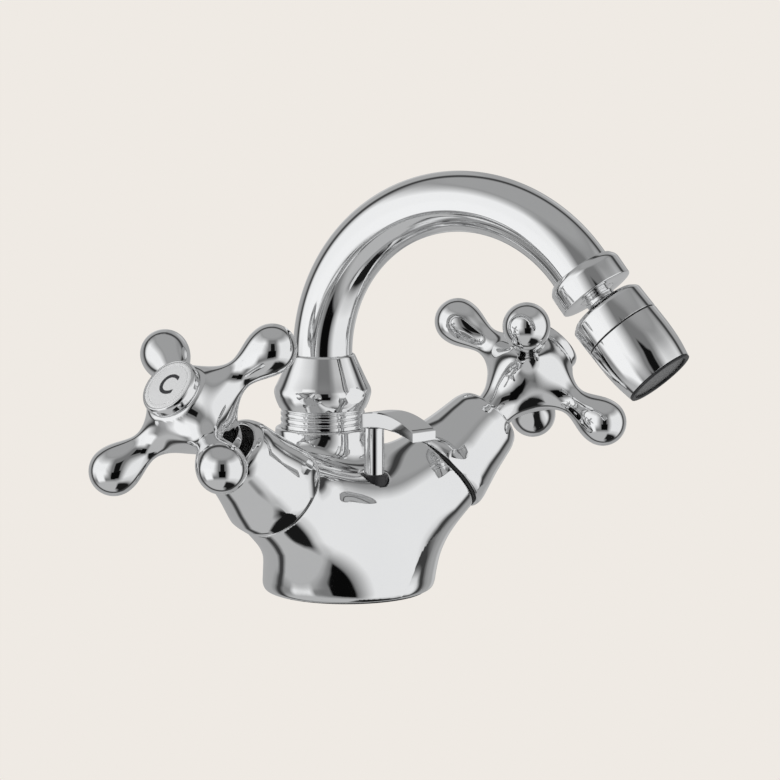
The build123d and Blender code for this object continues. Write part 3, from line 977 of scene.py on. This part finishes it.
def wire():
    """Grey metal wire of the screen, lighter where it is worn."""
    made = shader("screen_wire", (0.3, 0.3, 0.3), 0.4, metallic=0.8)
    vary(made, "Roughness", noise(made, 2000.0), 0.3, 0.55)
    tint(made, noise(made, 900.0), (0.2, 0.2, 0.2), (0.42, 0.42, 0.42))
    return made


def backdrop_material():
    """Pale studio paper that shows to the camera and leaves the tent's lower half open."""
    made = bpy.data.materials.new("pale_paper")
    made.use_nodes = True
    nodes = made.node_tree.nodes
    links = made.node_tree.links
    nodes.clear()
    paper = nodes.new("ShaderNodeEmission")
    paper.inputs["Color"].default_value = (*BACKDROP, 1)
    open_side = nodes.new("ShaderNodeBsdfTransparent")
    path = nodes.new("ShaderNodeLightPath")
    mix = nodes.new("ShaderNodeMixShader")
    out = nodes.new("ShaderNodeOutputMaterial")
    links.new(path.outputs["Is Camera Ray"], mix.inputs["Fac"])
    links.new(open_side.outputs["BSDF"], mix.inputs[1])
    links.new(paper.outputs["Emission"], mix.inputs[2])
    links.new(mix.outputs["Shader"], out.inputs["Surface"])
    return made


# ---------------------------------------------------------------- assembly

def dress(piece, finish):
    piece.data.materials.clear()
    piece.data.materials.append(finish)


FINISHES = {
    "chrome": chrome(), "brass": brass(), "steel": steel(), "black_rubber": rubber(),
    "black_plastic": black_plastic(), "white_plastic": white_plastic(),
    "index_white": enamel(), "screen_grey": wire(), "ceramic": ceramic(),
}
INK = ink()

pieces = [body_casting(), nut(), nipple(), spout_tube(), collar(), stem(), nozzle_upper(),
          nozzle_lower(), seam_ring(), outlet_rim(), mesh_screen(), lift_tab(), lift_rod(),
          rod_collar()]
for side in SIDES:
    pieces += [cross_handle(side), bonnet(side), bore_shadow_ring(side), cover_seal(side), cap(side),
               index_disc(side)]
    dress(index_letter(side), INK)
for piece in pieces:
    dress(piece, FINISHES[piece["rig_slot"]])

INNER = {
    "base_gasket": "black_rubber", "glide_ring": "white_plastic", "spout_spigot": "brass",
    "spout_seals": "black_rubber", "stem_washer": "black_rubber",
    "upper_ball_race": "white_plastic", "lower_ball_race": "white_plastic",
    "ball_retainer": "white_plastic", "aerator_gasket": "black_rubber",
    "aerator_body": "white_plastic", "aerator_screen": "screen_grey",
}
for side in SIDES:
    INNER[side + "_headwork_body"] = "brass"
    INNER[side + "_seat_seal"] = "black_rubber"
    INNER[side + "_fixed_disc"] = "ceramic"
    INNER[side + "_moving_disc"] = "ceramic"
    INNER[side + "_spindle"] = "brass"
    INNER[side + "_spindle_seals"] = "black_rubber"
    INNER[side + "_circlip"] = "steel"
    INNER[side + "_handle_screw"] = "steel"
for node, finish in INNER.items():
    dress(frame["nodes"][node], FINISHES[finish])


# ---------------------------------------------------------------- studio

def studio():
    """Backdrop for the camera, and a tent of light and dark panels for the reflections."""
    world = bpy.data.worlds.new("studio")
    bpy.context.scene.world = world
    world.use_nodes = True
    nodes = world.node_tree.nodes
    links = world.node_tree.links
    nodes.clear()

    def calc(kind, first, second=None):
        node = nodes.new("ShaderNodeMath")
        node.operation = kind
        for socket, value in zip(node.inputs, (first, second)):
            if isinstance(value, (int, float)):
                socket.default_value = value
            elif value is not None:
                links.new(value, socket)
        return node.outputs[0]

    def band(level, brightness, limits, soft):
        """Mixes one panel, whose soft edges are in degrees, into what lies behind it."""
        mask = 1.0
        for value, low, high in limits:
            for edge, sign in ((low, 1), (high, -1)):
                step = calc("MULTIPLY", calc("SUBTRACT", value, edge), sign / soft)
                node = nodes.new("ShaderNodeClamp")
                links.new(calc("ADD", step, 0.5), node.inputs["Value"])
                mask = calc("MULTIPLY", node.outputs[0], mask)
        return calc("ADD", calc("MULTIPLY", level, calc("SUBTRACT", 1.0, mask)),
                    calc("MULTIPLY", mask, brightness))

    coords = nodes.new("ShaderNodeTexCoord")
    parts = nodes.new("ShaderNodeSeparateXYZ")
    links.new(coords.outputs["Generated"], parts.inputs[0])
    x, y, z = parts.outputs
    towards = calc("ADD", calc("MULTIPLY", x, FRONT.x), calc("MULTIPLY", y, FRONT.y))
    across = calc("ADD", calc("MULTIPLY", x, -FRONT.y), calc("MULTIPLY", y, FRONT.x))
    turn = calc("MULTIPLY", calc("ARCTAN2", across, towards), 180 / pi)
    rise = calc("MULTIPLY", calc("ARCSINE", z), 180 / pi)
    level = TENT_LEVEL
    for brightness, azimuth, height, soft in PANELS:
        level = band(level, brightness, [(turn, *azimuth), (rise, *height)], soft)
    dark, start, stop, soft = RIM
    facing = calc("ADD", calc("MULTIPLY", towards, EYE_LEVEL.x), calc("MULTIPLY", z, EYE_LEVEL.y))
    away = calc("MULTIPLY", calc("ARCCOSINE", facing), 180 / pi)
    level = band(level, dark, [(away, start, stop)], soft)
    path = nodes.new("ShaderNodeLightPath")
    boost = calc("ADD", 1.0, calc("MULTIPLY", path.outputs["Is Diffuse Ray"], MATT_BOOST))
    level = calc("MULTIPLY", level, boost)
    tent = nodes.new("ShaderNodeBackground")
    tent.inputs["Color"].default_value = (0.99, 0.995, 1.0, 1)
    links.new(level, tent.inputs["Strength"])
    seen = nodes.new("ShaderNodeBackground")
    seen.inputs["Color"].default_value = (*BACKDROP, 1)
    mix = nodes.new("ShaderNodeMixShader")
    out = nodes.new("ShaderNodeOutputWorld")
    links.new(path.outputs["Is Camera Ray"], mix.inputs["Fac"])
    links.new(tent.outputs[0], mix.inputs[1])
    links.new(seen.outputs[0], mix.inputs[2])
    links.new(mix.outputs[0], out.inputs["Surface"])


def floor():
    """Round sheet under the tap."""
    around = 64
    vertices = [(0, 0, -0.0004)]
    for k in range(around):
        at = 2 * pi * k / around
        vertices.append((0.6 * cos(at), 0.6 * sin(at), -0.0004))
    mesh = bpy.data.meshes.new("floor")
    mesh.from_pydata(vertices, [], [(0, 1 + k, 1 + (k + 1) % around) for k in range(around)])
    sheet = bpy.data.objects.new("floor", mesh)
    bpy.context.collection.objects.link(sheet)
    mesh.materials.append(backdrop_material())


def camera():
    """Looks down a little from the front left, as a long lens sees it."""
    data = bpy.data.cameras.new("camera")
    data.lens = LENS
    data.sensor_width = 36.0
    data.clip_start = 0.05
    eye = bpy.data.objects.new("camera", data)
    bpy.context.collection.objects.link(eye)
    eye.location = CAMERA_FROM
    eye.rotation_euler = (CAMERA_AT - CAMERA_FROM).to_track_quat("-Z", "Y").to_euler()
    bpy.context.scene.camera = eye


studio()
floor()
camera()
bpy.context.scene.view_settings.view_transform = "Standard"
